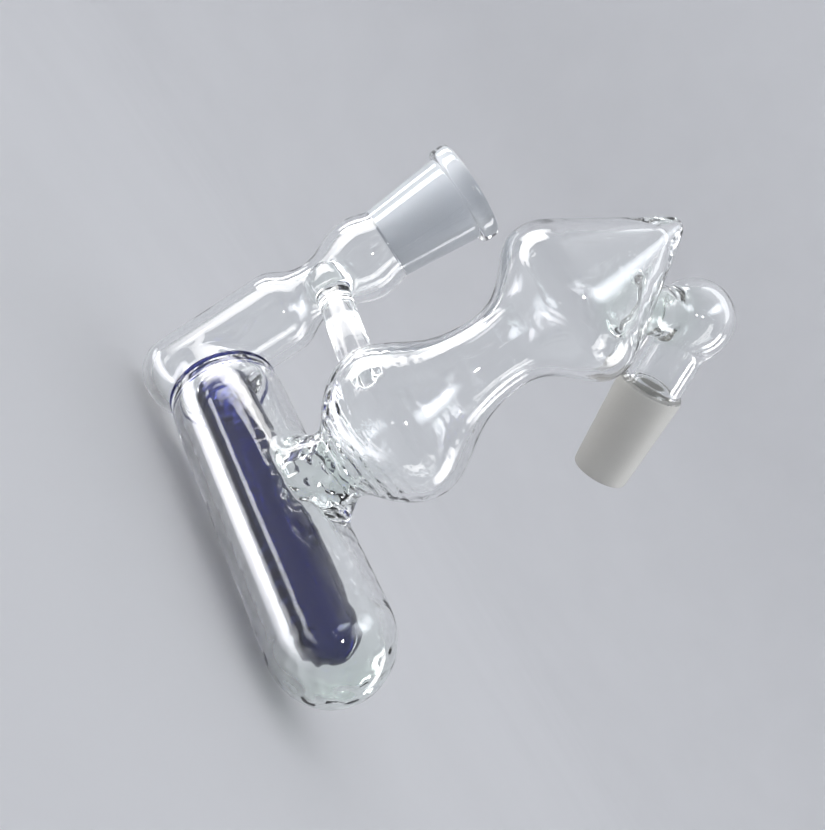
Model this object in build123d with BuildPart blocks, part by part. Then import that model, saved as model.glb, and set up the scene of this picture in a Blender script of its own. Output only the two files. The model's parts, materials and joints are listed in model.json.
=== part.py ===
from build123d import *

import os
from math import cos, radians, sin

# Lampworked borosilicate glass bubbler with ground joints.
#
# Gas enters the upright ground socket, goes down the riser into the blue inner tube, and leaves through
# the slits on its underside into the water chamber. It rises through two blown bulbs and a ball elbow
# to the ground cone.
#
# Frame: origin at the middle of the ground cone's large end, +Z up, +Z also along the socket and riser,
# +X from the riser towards the closed end of the chamber.

# ---- Driving dimensions, in millimetres and degrees ----
# Ground joints: 14.5 mm at the large end, and a diameter that changes 1 in 10
joint_radius = 14.5 / 2
joint_taper = 0.05
joint_length = 22.0

# Tubing walls
wall = 1.9
thin_wall = 1.6

# Riser: upright tube with a closed lower end, a pinched neck and a bulge under the socket
riser_x = -50.0
riser_y = -27.5
chamber_z = -75.5
riser_radius = 9.2
riser_floor = -15.0
riser_dome = 8.0
neck_radius = 6.0
neck_height = 28.4
bulge_radius = 9.25
bulge_height = 40.3
socket_foot = 46.0
socket_foot_radius = 8.05
socket_top_radius = 9.8
rim_radius = 11.3
rim_thickness = 4.2
rim_edge = 1.1

# Chamber: horizontal tube that falls slightly towards its closed end
chamber_fall = 1.7
chamber_radius = 11.9
chamber_end = 87.4
chamber_dome = 13.0
end_wall = 2.7
chamber_mouth_radius = 9.3
chamber_shoulder = 18.0

# Blue inner tube and the seal that joins it to the riser
blue_radius = 6.0
blue_wall = 1.5
blue_end = 80.0
seal_radius = 9.0
seal_thickness = 1.0
slit_width = 1.2
slit_length = 7.0
slit_count = 5
slit_pitch = 4.0
slit_middle = 62.0

# Bulb column: leans back from the upright a little
column_x = 45.3
column_y = -1.2
column_lean = 4.0
column_bore = 5.4
collar_top = 14.0
collar_radius = 7.4
waist_height = 50.5
tip_height = 93.0
cone_wall_across = 1.8
cone_wall_down = 1.04

# Support rod between the riser's neck and the lower bulb
rod_radius = 3.65
rod_foot_radius = 4.7
rod_near_end = (3.0, -4.4, 31.2)
rod_far_end = (31.0, -4.4, 27.0)

# Outlet: neck on the cone's side, ball elbow, drop tube and ground cone
cone_tilt = 37.0
cone_turn = 78.0
drop_length = 16.6
drop_radius = 6.3
shoulder_length = 1.2
ball_radius = 8.5
outlet_radius = 5.25
outlet_flare = 6.8
outlet_height = 70.3
outlet_foot = 8.0
cone_bore = 5.05
cone_tip_wall = 1.5

# ---- Directions and datum planes ----
junction = Vector(riser_x, riser_y, chamber_z)
up = Vector(0, 0, 1)
chamber_dir = Vector(cos(radians(chamber_fall)), 0, -sin(radians(chamber_fall)))
column_dir = Vector(0, -sin(radians(column_lean)), cos(radians(column_lean)))
cone_dir = Vector(
    sin(radians(cone_tilt)) * cos(radians(cone_turn)),
    sin(radians(cone_tilt)) * sin(radians(cone_turn)),
    -cos(radians(cone_tilt)),
)
column_foot = junction + Vector(column_x, column_y, 0)
ball_centre = cone_dir * -drop_length
outlet_root = column_foot + column_dir * outlet_height
outlet_dir = (ball_centre - outlet_root).normalized()


def side_plane(origin, axis, across):
    """Plane that holds an axis: its Y runs along the axis and its X across it."""
    return Plane(origin=origin, x_dir=across, z_dir=across.cross(axis))


riser_side = side_plane(junction, up, Vector(1, 0, 0))
riser_axis = Axis(junction, up)
chamber_side = side_plane(junction, chamber_dir, Vector(0, 1, 0))
chamber_axis = Axis(junction, chamber_dir)
chamber_section = Plane(origin=junction, z_dir=chamber_dir)
column_side = side_plane(column_foot, column_dir, Vector(1, 0, 0))
column_axis = Axis(column_foot, column_dir)
column_section = Plane(origin=column_foot, z_dir=column_dir)
outlet_side = side_plane(outlet_root, outlet_dir, outlet_dir.cross(up).normalized())
outlet_axis = Axis(outlet_root, outlet_dir)
outlet_section = Plane(origin=outlet_root, z_dir=outlet_dir)
outlet_reach = (ball_centre - outlet_root).length
cone_side = side_plane(Vector(0, 0, 0), cone_dir, cone_dir.cross(up).normalized())
cone_axis = Axis((0, 0, 0), cone_dir)
cone_section = Plane(origin=ball_centre, z_dir=cone_dir)
slit_middle_point = junction + chamber_dir * slit_middle
chamber_down = Vector(0, 1, 0).cross(chamber_dir)
slit_plane = Plane(origin=slit_middle_point, x_dir=chamber_dir, z_dir=chamber_down)

# ---- Blown outlines: radius and height along each axis ----
lower_bulb_outline = [
    (collar_radius, collar_top),
    (9.5, 16.8),
    (14.5, 22.4),
    (16.1, 28.2),
    (13.8, 34.6),
    (10.0, 40.8),
    (8.3, 46.2),
    (7.9, waist_height),
]
upper_bulb_outline = [
    (7.9, waist_height),
    (8.8, 55.2),
    (11.1, 58.4),
    (14.2, 61.5),
    (16.4, 64.7),
    (16.8, 67.4),
    (16.0, 70.6),
    (14.2, 73.6),
]
neck_outline = [
    (riser_radius, 18.0),
    (8.9, 20.3),
    (6.7, 24.6),
    (neck_radius, neck_height),
]
bulge_outline = [
    (neck_radius, neck_height),
    (6.6, 31.6),
    (8.5, 36.0),
    (bulge_radius, bulge_height),
    (8.75, 43.6),
    (socket_foot_radius, socket_foot),
]
shoulder_outline = [
    (chamber_mouth_radius, 3.0),
    (10.7, 8.0),
    (11.5, 12.0),
    (chamber_radius, chamber_shoulder),
]
collar_outline = [
    (9.6, 7.0),
    (8.4, 11.8),
    (collar_radius, collar_top),
]
rod_outline = [
    (rod_foot_radius, 3.4),
    (3.85, 6.0),
    (rod_radius, 8.0),
]
outlet_outline = [
    (outlet_flare, 12.2),
    (5.4, 16.5),
    (outlet_radius, 19.0),
]
cone_foot = upper_bulb_outline[-1]
cone_head = (1.31, 92.28)
cone_tip = (0, tip_height)
hollow_edge = (1.1, 87.1)
hollow_top = (0, 88.0)
shoulder_corner = (7.0, -0.42)


def inset(points, depth):
    """The same outline further in, square to its own slope, with both ends kept at their heights."""
    first, last = points[0], points[-1]
    inner = [(first[0] - depth, first[1])]
    for before, here, after in zip(points, points[1:], points[2:]):
        run = (Vector(*after) - Vector(*before)).normalized()
        inner.append((here[0] - run.Y * depth, here[1] + run.X * depth))
    inner.append((last[0] - depth, last[1]))
    return inner


def wall_profile(points, depth, start, end):
    """Half section of a blown wall; start and end are the outline's directions at its two ends."""
    inner = inset(points, depth)
    with BuildSketch() as profile:
        with BuildLine():
            Spline(*points, tangents=(start, end))
            Line(points[-1], inner[-1])
            Spline(*reversed(inner), tangents=((-end[0], -end[1]), (-start[0], -start[1])))
            Line(inner[0], points[0])
        make_face()
    return profile.sketch


def filled_profile(points, start, end):
    """Half section of the whole space inside a blown outline, out to its axis."""
    with BuildSketch() as profile:
        with BuildLine():
            Spline(*points, tangents=(start, end))
            Polyline(points[-1], (0, points[-1][1]), (0, points[0][1]), points[0])
        make_face()
    return profile.sketch


def dome_points(radius, start, depth):
    """Three points of a rounded end: where it leaves the tube, halfway round, and on the axis."""
    half = radians(45)
    return [(radius, start), (radius * cos(half), start + depth * sin(half)), (0, start + depth)]


straight = (0, 1)
downwards = (0, -1)
inwards = (-1, 0)
outwards = (1, 0)
cone_slope = (-0.565, 0.825)
cone_slope_back = (0.565, -0.825)
bulge_slope = (-0.18, 0.98)
shoulder_slope = (0.5, 0.87)
shoulder_slope_back = (-0.5, -0.87)
collar_slope = (-0.2, 1)
outlet_slope = (-0.5, 0.87)


# ---- Ground socket and its rim ----
socket_top = socket_foot + joint_length - rim_thickness
mouth_height = socket_foot + joint_length
foot_bore = joint_radius - joint_taper * joint_length
rim_bore = joint_radius - joint_taper * rim_thickness

with BuildPart() as ground_socket:
    with BuildSketch(riser_side):
        with BuildLine():
            Polyline(
                (foot_bore, socket_foot),
                (socket_foot_radius, socket_foot),
                (socket_top_radius, socket_top),
                (rim_bore, socket_top),
                close=True,
            )
        make_face()
    revolve(axis=riser_axis)

with BuildPart() as socket_rim:
    with BuildSketch(riser_side):
        with BuildLine():
            Polyline(
                (rim_bore, socket_top),
                (rim_radius, socket_top),
                (rim_radius, mouth_height),
                (joint_radius, mouth_height),
                close=True,
            )
        make_face()
    revolve(axis=riser_axis)
    outer_corners = socket_rim.edges().filter_by(GeomType.CIRCLE).sort_by(lambda e: -e.radius)[0:2]
    fillet(outer_corners, radius=rim_edge)

# ---- Bulge under the socket, and the riser with its closed lower end ----
with BuildPart() as bulge_tube:
    with BuildSketch(riser_side):
        add(wall_profile(bulge_outline, wall, straight, bulge_slope))
    revolve(axis=riser_axis)

with BuildPart() as riser_tube:
    with BuildSketch(riser_side):
        dome_top = riser_floor + riser_dome
        inner_neck = inset(neck_outline, wall)
        inner_floor = dome_points(riser_radius - wall, dome_top, wall - riser_dome)
        with BuildLine():
            Spline(*dome_points(riser_radius, dome_top, -riser_dome), tangents=(downwards, inwards))
            Line((riser_radius, dome_top), neck_outline[0])
            Spline(*neck_outline, tangents=(straight, straight))
            Line(neck_outline[-1], inner_neck[-1])
            Spline(*reversed(inner_neck), tangents=(downwards, downwards))
            Line(inner_neck[0], (riser_radius - wall, dome_top))
            Spline(*inner_floor, tangents=(downwards, inwards))
            Line((0, riser_floor + wall), (0, riser_floor))
        make_face()
    revolve(axis=riser_axis)
    with BuildSketch(chamber_section):
        Circle(blue_radius - blue_wall)
    extrude(amount=riser_radius + wall, mode=Mode.SUBTRACT)

# ---- Blue seal: a curved washer between the riser and the chamber's mouth ----
with BuildPart() as blue_seal:
    with BuildSketch(chamber_section):
        Circle(seal_radius)
        Circle(blue_radius - blue_wall, mode=Mode.SUBTRACT)
    extrude(amount=riser_radius + seal_thickness)
    with BuildSketch(Plane.XY.offset(chamber_z - chamber_radius)):
        with Locations((riser_x, riser_y)):
            Circle(riser_radius + seal_thickness)
    extrude(amount=2 * chamber_radius, mode=Mode.INTERSECT)
    with BuildSketch(Plane.XY.offset(chamber_z - chamber_radius)):
        with Locations((riser_x, riser_y)):
            Circle(riser_radius)
    extrude(amount=2 * chamber_radius, mode=Mode.SUBTRACT)

# ---- Blue inner tube: closed round end, slits on the underside ----
with BuildPart() as blue_tube:
    with BuildSketch(chamber_section):
        Circle(blue_radius)
    extrude(amount=blue_end - blue_radius)
    with Locations(junction + chamber_dir * (blue_end - blue_radius)):
        Sphere(blue_radius)
    with BuildSketch(chamber_section):
        Circle(blue_radius - blue_wall)
    extrude(amount=blue_end - blue_radius, mode=Mode.SUBTRACT)
    with Locations(junction + chamber_dir * (blue_end - blue_radius)):
        Sphere(blue_radius - blue_wall, mode=Mode.SUBTRACT)
    with BuildSketch(slit_plane):
        with GridLocations(slit_pitch, 1, slit_count, 1):
            SlotOverall(slit_length, slit_width, rotation=90)
    extrude(amount=2 * blue_radius, mode=Mode.SUBTRACT)
    with BuildSketch(Plane.XY.offset(chamber_z - chamber_radius)):
        with Locations((riser_x, riser_y)):
            Circle(riser_radius + seal_thickness)
    extrude(amount=2 * chamber_radius, mode=Mode.SUBTRACT)

# ---- Water chamber: shoulder at the riser, round closed end, bore up into the column ----
with BuildPart() as chamber_tube:
    with BuildSketch(chamber_side):
        dome_start = chamber_end - chamber_dome
        inner_dome = dome_points(chamber_radius - wall, dome_start, chamber_dome - end_wall)
        inner_shoulder = inset(shoulder_outline, wall)
        with BuildLine():
            Spline(*shoulder_outline, tangents=(shoulder_slope, straight))
            Line(shoulder_outline[-1], (chamber_radius, dome_start))
            Spline(*dome_points(chamber_radius, dome_start, chamber_dome), tangents=(straight, inwards))
            Line((0, chamber_end), (0, chamber_end - end_wall))
            Spline(*inner_dome, tangents=(straight, inwards))
            Line((chamber_radius - wall, dome_start), inner_shoulder[-1])
            Spline(*reversed(inner_shoulder), tangents=(downwards, shoulder_slope_back))
            Line(inner_shoulder[0], shoulder_outline[0])
        make_face()
    revolve(axis=chamber_axis)
    with BuildSketch(Plane.XY.offset(chamber_z - 2 * chamber_radius)):
        with Locations((riser_x, riser_y)):
            Circle(riser_radius + seal_thickness)
    extrude(amount=4 * chamber_radius, mode=Mode.SUBTRACT)
    with BuildSketch(column_section):
        Circle(column_bore)
    extrude(amount=collar_top, mode=Mode.SUBTRACT)

# ---- Weld collar between the chamber and the lower bulb ----
with BuildPart() as weld_collar:
    with BuildSketch(column_side):
        with BuildLine():
            Spline(*collar_outline, tangents=(collar_slope, straight))
            Polyline(
                collar_outline[-1],
                (column_bore, collar_top),
                (column_bore, collar_outline[0][1]),
                collar_outline[0],
            )
        make_face()
    revolve(axis=column_axis)
    with BuildSketch(chamber_section):
        Circle(chamber_radius)
    extrude(amount=chamber_end, mode=Mode.SUBTRACT)

# ---- Lower and upper bulbs, blown from one tube ----
with BuildPart() as lower_bulb:
    with BuildSketch(column_side):
        add(wall_profile(lower_bulb_outline, wall, straight, straight))
    revolve(axis=column_axis)

with BuildPart() as upper_bulb:
    with BuildSketch(column_side):
        inner = inset(upper_bulb_outline, wall)
        inner[-1] = (cone_foot[0] - cone_wall_across, cone_foot[1] - cone_wall_down)
        with BuildLine():
            Spline(*upper_bulb_outline, tangents=(straight, cone_slope))
            Line(cone_foot, cone_head)
            Spline(cone_head, cone_tip, tangents=(cone_slope, inwards))
            Line(cone_tip, hollow_top)
            Spline(hollow_top, hollow_edge, tangents=(outwards, cone_slope_back))
            Line(hollow_edge, inner[-1])
            Spline(*reversed(inner), tangents=(cone_slope_back, downwards))
            Line(inner[0], upper_bulb_outline[0])
        make_face()
    revolve(axis=column_axis)
    with BuildSketch(outlet_section):
        Circle(outlet_radius - thin_wall)
    extrude(amount=outlet_reach, mode=Mode.SUBTRACT)

# ---- Support rod: solid, with a pressed foot at the riser's neck ----
rod_start = junction + Vector(*rod_near_end)
rod_finish = junction + Vector(*rod_far_end)
rod_dir = (rod_finish - rod_start).normalized()
rod_length = (rod_finish - rod_start).length
rod_side = side_plane(rod_start, rod_dir, Vector(0, 1, 0))

with BuildPart() as support_rod:
    with BuildSketch(rod_side):
        with BuildLine():
            Polyline((0, 0), (rod_foot_radius, 0), rod_outline[0])
            Spline(*rod_outline, tangents=(straight, straight))
            Polyline(rod_outline[-1], (rod_radius, rod_length), (0, rod_length), (0, 0))
        make_face()
    revolve(axis=Axis(rod_start, rod_dir))
    with BuildSketch(riser_side):
        add(filled_profile(neck_outline, straight, straight))
    revolve(axis=riser_axis, mode=Mode.SUBTRACT)
    with BuildSketch(riser_side):
        add(filled_profile(bulge_outline, straight, bulge_slope))
    revolve(axis=riser_axis, mode=Mode.SUBTRACT)
    with BuildSketch(column_side):
        add(filled_profile(lower_bulb_outline, straight, straight))
    revolve(axis=column_axis, mode=Mode.SUBTRACT)

# ---- Outlet neck, ball elbow and drop tube ----
with BuildPart() as outlet_neck:
    with BuildSketch(outlet_side):
        with BuildLine():
            Line((outlet_flare, outlet_foot), outlet_outline[0])
            Spline(*outlet_outline, tangents=(outlet_slope, straight))
            Line(outlet_outline[-1], (outlet_radius, outlet_reach))
            Polyline(
                (outlet_radius, outlet_reach),
                (outlet_radius - thin_wall, outlet_reach),
                (outlet_radius - thin_wall, outlet_foot),
                (outlet_flare, outlet_foot),
            )
        make_face()
    revolve(axis=outlet_axis)
    with BuildSketch(column_side):
        with BuildLine():
            Spline(*upper_bulb_outline, tangents=(straight, cone_slope))
            Line(cone_foot, cone_head)
            Spline(cone_head, cone_tip, tangents=(cone_slope, inwards))
            Polyline(cone_tip, (0, waist_height), upper_bulb_outline[0])
        make_face()
    revolve(axis=column_axis, mode=Mode.SUBTRACT)
    with Locations(ball_centre):
        Sphere(ball_radius, mode=Mode.SUBTRACT)

with BuildPart() as elbow_ball:
    with Locations(ball_centre):
        Sphere(ball_radius)
        Sphere(ball_radius - wall, mode=Mode.SUBTRACT)
    with BuildSketch(outlet_section):
        Circle(outlet_radius - thin_wall)
    extrude(amount=outlet_reach, mode=Mode.SUBTRACT)
    with BuildSketch(cone_section):
        Circle(drop_radius - wall)
    extrude(amount=drop_length, mode=Mode.SUBTRACT)

with BuildPart() as drop_tube:
    with BuildSketch(cone_section):
        Circle(drop_radius)
        Circle(drop_radius - wall, mode=Mode.SUBTRACT)
    extrude(amount=drop_length - shoulder_length)
    with Locations(ball_centre):
        Sphere(ball_radius, mode=Mode.SUBTRACT)

# ---- Clear shoulder and ground cone ----
tip_outer = joint_radius - joint_taper * joint_length

with BuildPart() as cone_shoulder:
    with BuildSketch(cone_side):
        with BuildLine():
            Polyline(
                (drop_radius - wall, -shoulder_length),
                (drop_radius, -shoulder_length),
                shoulder_corner,
                (joint_radius, 0),
                (cone_bore, 0),
                close=True,
            )
        make_face()
    revolve(axis=cone_axis)

with BuildPart() as ground_cone:
    with BuildSketch(cone_side):
        with BuildLine():
            Polyline(
                (cone_bore, 0),
                (joint_radius, 0),
                (tip_outer, joint_length),
                (tip_outer - cone_tip_wall, joint_length),
                close=True,
            )
        make_face()
    revolve(axis=cone_axis)

# ---- Labels and files ----
pieces = {
    "ground_socket": ground_socket,
    "socket_rim": socket_rim,
    "bulge_tube": bulge_tube,
    "riser_tube": riser_tube,
    "blue_seal": blue_seal,
    "blue_tube": blue_tube,
    "chamber_tube": chamber_tube,
    "weld_collar": weld_collar,
    "lower_bulb": lower_bulb,
    "upper_bulb": upper_bulb,
    "support_rod": support_rod,
    "outlet_neck": outlet_neck,
    "elbow_ball": elbow_ball,
    "drop_tube": drop_tube,
    "cone_shoulder": cone_shoulder,
    "ground_cone": ground_cone,
}

os.makedirs("parts", exist_ok=True)
for name, piece in pieces.items():
    piece.part.label = name
    export_step(piece.part, f"parts/{name}.step")
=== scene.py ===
import json
import math

import bmesh
import bpy
import numpy as np
from bpy.props import FloatProperty, FloatVectorProperty, PointerProperty
from mathutils import Matrix, Vector


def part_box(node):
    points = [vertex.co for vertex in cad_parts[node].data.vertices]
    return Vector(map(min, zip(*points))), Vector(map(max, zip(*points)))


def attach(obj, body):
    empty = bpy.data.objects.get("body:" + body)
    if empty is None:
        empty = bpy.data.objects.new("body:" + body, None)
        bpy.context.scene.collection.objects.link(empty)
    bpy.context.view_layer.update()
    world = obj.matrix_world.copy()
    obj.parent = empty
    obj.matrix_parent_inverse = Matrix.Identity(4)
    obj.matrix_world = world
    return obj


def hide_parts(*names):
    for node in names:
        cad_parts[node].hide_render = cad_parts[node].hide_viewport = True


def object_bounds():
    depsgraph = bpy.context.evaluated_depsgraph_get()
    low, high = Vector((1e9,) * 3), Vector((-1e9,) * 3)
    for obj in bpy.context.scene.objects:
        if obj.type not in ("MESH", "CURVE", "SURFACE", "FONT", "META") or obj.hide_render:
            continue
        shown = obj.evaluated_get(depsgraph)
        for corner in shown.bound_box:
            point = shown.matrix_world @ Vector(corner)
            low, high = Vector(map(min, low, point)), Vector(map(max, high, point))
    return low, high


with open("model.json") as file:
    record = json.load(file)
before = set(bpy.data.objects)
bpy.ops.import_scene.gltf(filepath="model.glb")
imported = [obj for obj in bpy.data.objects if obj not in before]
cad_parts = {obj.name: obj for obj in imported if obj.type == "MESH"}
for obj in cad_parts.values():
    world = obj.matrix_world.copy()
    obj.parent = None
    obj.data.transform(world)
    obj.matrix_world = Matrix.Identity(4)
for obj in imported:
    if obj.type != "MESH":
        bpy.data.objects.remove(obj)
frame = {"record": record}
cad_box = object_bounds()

bl_info = {
    "name": "Lampworked Bubbler",
    "version": (1, 0, 0),
    "blender": (4, 5, 0),
    "location": "View3D > Sidebar > Bubbler",
    "description": "Blows a clear glass bubbler with ground joints and a blue inner tube, and lights it",
    "category": "Add Mesh",
}

mm = 0.001
DEG = math.pi / 180

# ---- Where things are: the two ground joints give the frame, and the rest hangs on the riser's foot ----
mounts = {mount["name"]: mount for mount in frame["record"]["mounts"]}
CONE_END = np.array(mounts["outlet_cone"]["pos_m"])
CONE_DIR = np.array(mounts["outlet_cone"]["axis"])
UP = np.array(mounts["inlet_socket"]["axis"])
MOUTH_HEIGHT = 68.0
JUNCTION = np.array(mounts["inlet_socket"]["pos_m"]) - UP * MOUTH_HEIGHT * mm

CHAMBER_FALL = 1.7 * DEG
COLUMN_LEAN = 4.0 * DEG
CHAMBER_DIR = np.array([math.cos(CHAMBER_FALL), 0, -math.sin(CHAMBER_FALL)])
COLUMN_DIR = np.array([0, -math.sin(COLUMN_LEAN), math.cos(COLUMN_LEAN)])
COLUMN_FOOT = JUNCTION + np.array([45.3, -1.2, 0]) * mm
DROP_LENGTH = 16.6
BALL_CENTRE = CONE_END - CONE_DIR * DROP_LENGTH * mm
OUTLET_ROOT = COLUMN_FOOT + COLUMN_DIR * 70.3 * mm
OUTLET_REACH = float(np.linalg.norm(BALL_CENTRE - OUTLET_ROOT)) / mm
OUTLET_DIR = (BALL_CENTRE - OUTLET_ROOT) / (OUTLET_REACH * mm)
ROD_START = JUNCTION + np.array([3.0, -4.4, 31.2]) * mm
ROD_END = JUNCTION + np.array([31.0, -4.4, 27.0]) * mm
ROD_LENGTH = float(np.linalg.norm(ROD_END - ROD_START)) / mm
ROD_DIR = (ROD_END - ROD_START) / (ROD_LENGTH * mm)

# ---- Radii and heights in millimetres, along each axis ----
WALL = 1.9
THIN_WALL = 1.6
END_WALL = 2.7
RISER_RADIUS, RISER_FLOOR, RISER_DOME = 9.2, -15.0, 8.0
CHAMBER_RADIUS, CHAMBER_END, CHAMBER_DOME = 11.9, 87.4, 13.0
BLUE_RADIUS, BLUE_WALL, BLUE_START, BLUE_END = 6.0, 1.5, 9.6, 80.0
BLUE_BORE = BLUE_RADIUS - BLUE_WALL
CORE_RADIUS, CORE_START, CORE_END = 9.0, 3.0, 12.0
CHAMBER_START, CHAMBER_FLOOR = 10.4, 12.0
SEAL_PLACE, SEAL_RING, SEAL_BEAD = 10.9, 10.95, 0.6
COLUMN_BORE = 5.4
BALL_RADIUS = 8.5
DROP_RADIUS = 6.3
OUTLET_RADIUS = 5.25
OUTLET_BORE = OUTLET_RADIUS - THIN_WALL
JOINT_RADIUS, JOINT_LENGTH, JOINT_TAPER = 7.25, 22.0, 0.05
SOCKET_FOOT = MOUTH_HEIGHT - JOINT_LENGTH
SOCKET_TOP = MOUTH_HEIGHT - 4.2
RIM_RADIUS, RIM_EDGE = 11.3, 1.1

NECK = [(9.2, 18.0), (8.9, 20.3), (6.7, 24.6), (6.0, 28.4)]
BULGE = [(6.0, 28.4), (6.6, 31.6), (8.5, 36.0), (9.25, 40.3), (8.75, 43.6), (8.05, 46.0)]
SHOULDER = [(9.3, 3.0), (10.7, 8.0), (11.5, 12.0), (11.9, 18.0)]
COLLAR = [(9.6, 7.0), (8.4, 11.8), (7.4, 14.0)]
LOWER_BULB = [
    (7.4, 14.0), (9.5, 16.8), (14.5, 22.4), (16.1, 28.2),
    (13.8, 34.6), (10.0, 40.8), (8.3, 46.2), (7.9, 50.5),
]
UPPER_BULB = [
    (7.9, 50.5), (8.8, 55.2), (11.1, 58.4), (14.2, 61.5),
    (16.4, 64.7), (16.8, 67.4), (16.0, 70.6), (14.2, 73.6),
]
CONE_HEAD, CONE_TIP = (1.98, 91.29), (0.0, 92.4)
HOLLOW_EDGE, HOLLOW_TIP = (2.2, 86.0), (0.0, 88.0)
STRAIGHT, INWARDS = (0, 1), (-1, 0)
CONE_SLOPE, BULGE_SLOPE, SHOULDER_SLOPE = (-0.565, 0.825), (-0.18, 0.98), (0.5, 0.87)


# ---- Outlines ----
def curve(points, start, end, steps=7):
    """A smooth line through points, with its direction given at both ends."""
    points = np.array(points, float)
    gaps = np.linalg.norm(np.diff(points, axis=0), axis=1)
    count = len(points)
    rows = np.zeros((count, count))
    wanted = np.zeros((count, 2))
    rows[0, 0] = rows[-1, -1] = 1
    wanted[0] = np.array(start) / np.linalg.norm(start)
    wanted[-1] = np.array(end) / np.linalg.norm(end)
    for i in range(1, count - 1):
        before, after = gaps[i - 1], gaps[i]
        rows[i, i - 1 : i + 2] = 1 / before, 2 / before + 2 / after, 1 / after
        rise = (points[i] - points[i - 1]) / before**2 + (points[i + 1] - points[i]) / after**2
        wanted[i] = 3 * rise
    slopes = np.linalg.solve(rows, wanted)
    line = []
    for i, gap in enumerate(gaps):
        for t in np.arange(steps) / steps:
            leave, arrive = 2 * t**3 - 3 * t**2 + 1, 3 * t**2 - 2 * t**3
            blend = (leave, (t**3 - 2 * t**2 + t) * gap, arrive, (t**3 - t**2) * gap)
            ends = (points[i], slopes[i], points[i + 1], slopes[i + 1])
            line.append(sum(share * part for share, part in zip(blend, ends)))
    return [tuple(p) for p in line] + [tuple(points[-1])]


def inset(points, depth):
    """The same outline further in, square to its own slope, with both ends kept at their heights."""
    points = np.array(points, float)
    inner = [(points[0][0] - depth, points[0][1])]
    for before, here, after in zip(points, points[1:], points[2:]):
        run = (after - before) / np.linalg.norm(after - before)
        inner.append((here[0] - run[1] * depth, here[1] + run[0] * depth))
    return inner + [(points[-1][0] - depth, points[-1][1])]


def dome(radius, start, depth):
    """A rounded end, from the tube's side to its axis."""
    half = math.sqrt(0.5)
    points = [(radius, start), (radius * half, start + depth * half), (0, start + depth)]
    return curve(points, (0, math.copysign(1, depth)), INWARDS, steps=10)


def corner(centre, radius, first, last, steps=6):
    """A round corner, as an arc between two angles in degrees."""
    angles = np.linspace(first * DEG, last * DEG, steps)
    return [(centre[0] + radius * math.cos(a), centre[1] + radius * math.sin(a)) for a in angles]


def reverse(line):
    return list(reversed(line))


# ---- Solids as distances: negative inside the glass, positive outside it ----
def outline_distance(outline, radius, height):
    """Signed distance to a half section whose first and last points are on the axis."""
    best = np.full(radius.shape, np.inf)
    inside = np.zeros(radius.shape, bool)
    for (r0, h0), (r1, h1) in zip(outline, outline[1:]):
        run_r, run_h = r1 - r0, h1 - h0
        length = run_r**2 + run_h**2
        if length == 0:
            continue
        along = np.clip(((radius - r0) * run_r + (height - h0) * run_h) / length, 0, 1)
        off = (radius - r0 - along * run_r) ** 2 + (height - h0 - along * run_h) ** 2
        best = np.minimum(best, off)
        if run_h != 0:
            crossed = (height >= h0) != (height >= h1)
            inside ^= crossed & (radius < r0 + (height - h0) * run_r / run_h)
    return np.where(inside, -1, 1) * np.sqrt(best)


class Turned:
    """A solid turned about an axis. Its distance is read from a table over radius and height."""

    cell = 0.16
    reach = 4.0

    def __init__(self, origin, axis, outline):
        self.origin, self.axis = origin, axis
        outline = np.array(outline, float)
        self.low = outline[:, 1].min() - self.reach
        radii = np.arange(0, outline[:, 0].max() + self.reach, self.cell)
        heights = np.arange(self.low, outline[:, 1].max() + self.reach, self.cell)
        self.table = outline_distance(outline, *np.meshgrid(radii, heights, indexing="ij"))

    def __call__(self, points):
        away = (points - self.origin) / mm
        height = away @ self.axis
        radius = np.sqrt(np.maximum((away * away).sum(1) - height**2, 0))
        u, v = radius / self.cell, (height - self.low) / self.cell
        known = (v >= 0) & (v < self.table.shape[1] - 1.001) & (u < self.table.shape[0] - 1.001)
        u, v = u[known], v[known]
        i, j = u.astype(int), v.astype(int)
        u, v = u - i, v - j
        near = self.table[i, j] * (1 - v) + self.table[i, j + 1] * v
        further = self.table[i + 1, j] * (1 - v) + self.table[i + 1, j + 1] * v
        found = np.full(len(points), self.reach)
        found[known] = near * (1 - u) + further * u
        return found


def ball(points, centre, radius):
    return np.linalg.norm(points - centre, axis=1) / mm - radius


def bead(points, centre, axis, ring, thickness):
    """A ring of glass round an axis."""
    away = (points - centre) / mm
    height = away @ axis
    radius = np.sqrt(np.maximum((away * away).sum(1) - height**2, 0))
    return np.hypot(radius - ring, height) - thickness


def fuse(a, b, weld):
    """Both solids as one, with a fillet about as large as the weld."""
    overlap = np.maximum(weld - np.abs(a - b), 0) / weld
    return np.minimum(a, b) - overlap**2 * weld / 4


def carve(a, b, edge):
    """The first solid without the second, with its new edges rounded."""
    return -fuse(-a, b, edge)


def waves(points, seed, length, count=7):
    """Smooth random waves between about -1 and 1, as flame-worked glass has."""
    draw = np.random.default_rng(seed)
    total = np.zeros(len(points))
    for _ in range(count):
        way = draw.normal(size=3)
        way *= draw.uniform(0.7, 1.3) / np.linalg.norm(way)
        total += np.sin((points / mm) @ way * (2 * math.pi / length) + draw.uniform(0, 2 * math.pi))
    return total / math.sqrt(count)


def spot(points, centre, radius):
    """1 at a place and fading to 0 around it."""
    return np.exp(-((points - centre) ** 2).sum(1) / (radius * mm) ** 2)


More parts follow.
